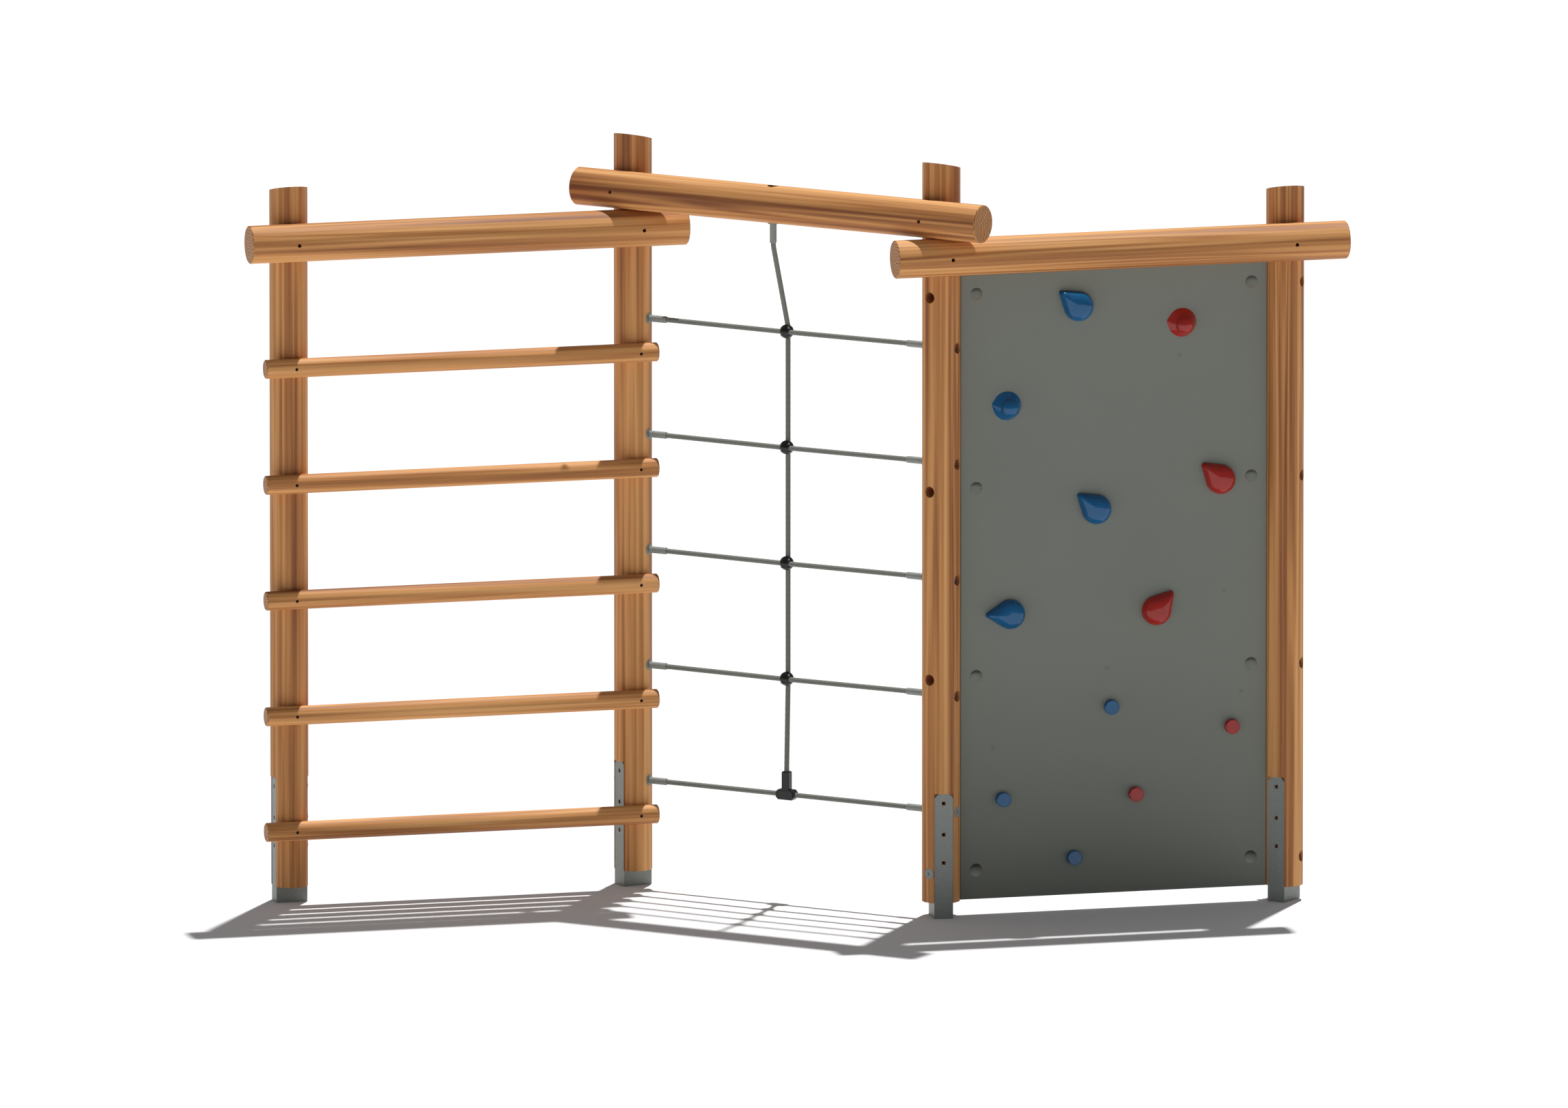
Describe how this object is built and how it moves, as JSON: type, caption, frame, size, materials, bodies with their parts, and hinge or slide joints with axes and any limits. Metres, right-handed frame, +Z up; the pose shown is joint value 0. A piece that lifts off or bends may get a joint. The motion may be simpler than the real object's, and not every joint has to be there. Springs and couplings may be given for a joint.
{
  "type": "climbing frame",
  "caption": "Zigzag playground climbing frame on round timber posts: a rung ladder, a rope net and a grey climbing wall with blue and red holds, in galvanised shoes.",
  "frame": {"origin": "on the ground, under the middle of the whole frame's box", "axes": "+X along the ladder bay and the wall bay from left to right, +Y to the back, away from the holds, +Z up"},
  "size_m": [3.357, 1.12, 2.4113],
  "materials": {
    "larch": "oiled larch, turned smooth",
    "galvanised": "hot-dip galvanised",
    "zinc_fasteners": "zinc plated",
    "grey_panel": "fine textured high-pressure laminate",
    "grey_plug": "moulded, flush",
    "blue_resin": "moulded, glossy",
    "red_resin": "moulded, glossy",
    "rope": "braided sheath over steel strands",
    "black_nylon": "moulded, satin"
  },
  "bodies": {
    "root": {"beam_ladder": "larch", "beam_net": "larch", "beam_screws": "zinc_fasteners", "beam_wall": "larch", "bracket_screws": "zinc_fasteners", "climbing_panel": "grey_panel", "connector_screws": "zinc_fasteners", "cross_connector_1": "black_nylon", "cross_connector_2": "black_nylon", "cross_connector_3": "black_nylon", "cross_connector_4": "black_nylon", "drop_hold_1": "blue_resin", "drop_hold_2": "red_resin", "drop_hold_3": "blue_resin", "drop_hold_4": "red_resin", "drop_hold_5": "blue_resin", "ferrule_washers": "galvanised", "ferrules_left": "galvanised", "ferrules_right": "galvanised", "foot_peg_1": "blue_resin", "foot_peg_2": "red_resin", "foot_peg_3": "blue_resin", "foot_peg_4": "red_resin", "foot_peg_5": "blue_resin", "hanger_bolt": "galvanised", "hanger_ferrule": "galvanised", "hold_bolts": "zinc_fasteners", "post_1": "larch", "post_2": "larch", "post_3": "larch", "post_4": "larch", "post_bolts": "galvanised", "post_nuts": "zinc_fasteners", "rope_anchors_left": "galvanised", "rope_anchors_right": "galvanised", "rope_hanging": "rope", "rope_level_1": "rope", "rope_level_2": "rope", "rope_level_3": "rope", "rope_level_4": "rope", "rope_level_5": "rope", "round_hold_1": "red_resin", "round_hold_2": "blue_resin", "rung_1": "larch", "rung_2": "larch", "rung_3": "larch", "rung_4": "larch", "rung_5": "larch", "rung_screws": "zinc_fasteners", "shoe_1": "galvanised", "shoe_2": "galvanised", "shoe_3": "galvanised", "shoe_4": "galvanised", "shoe_screws": "zinc_fasteners", "shoe_washers": "zinc_fasteners", "spare_plugs": "grey_plug", "tee_connector": "black_nylon", "wall_brackets_left": "galvanised", "wall_brackets_right": "galvanised", "wall_washers": "zinc_fasteners"}
  },
  "joints": []
}
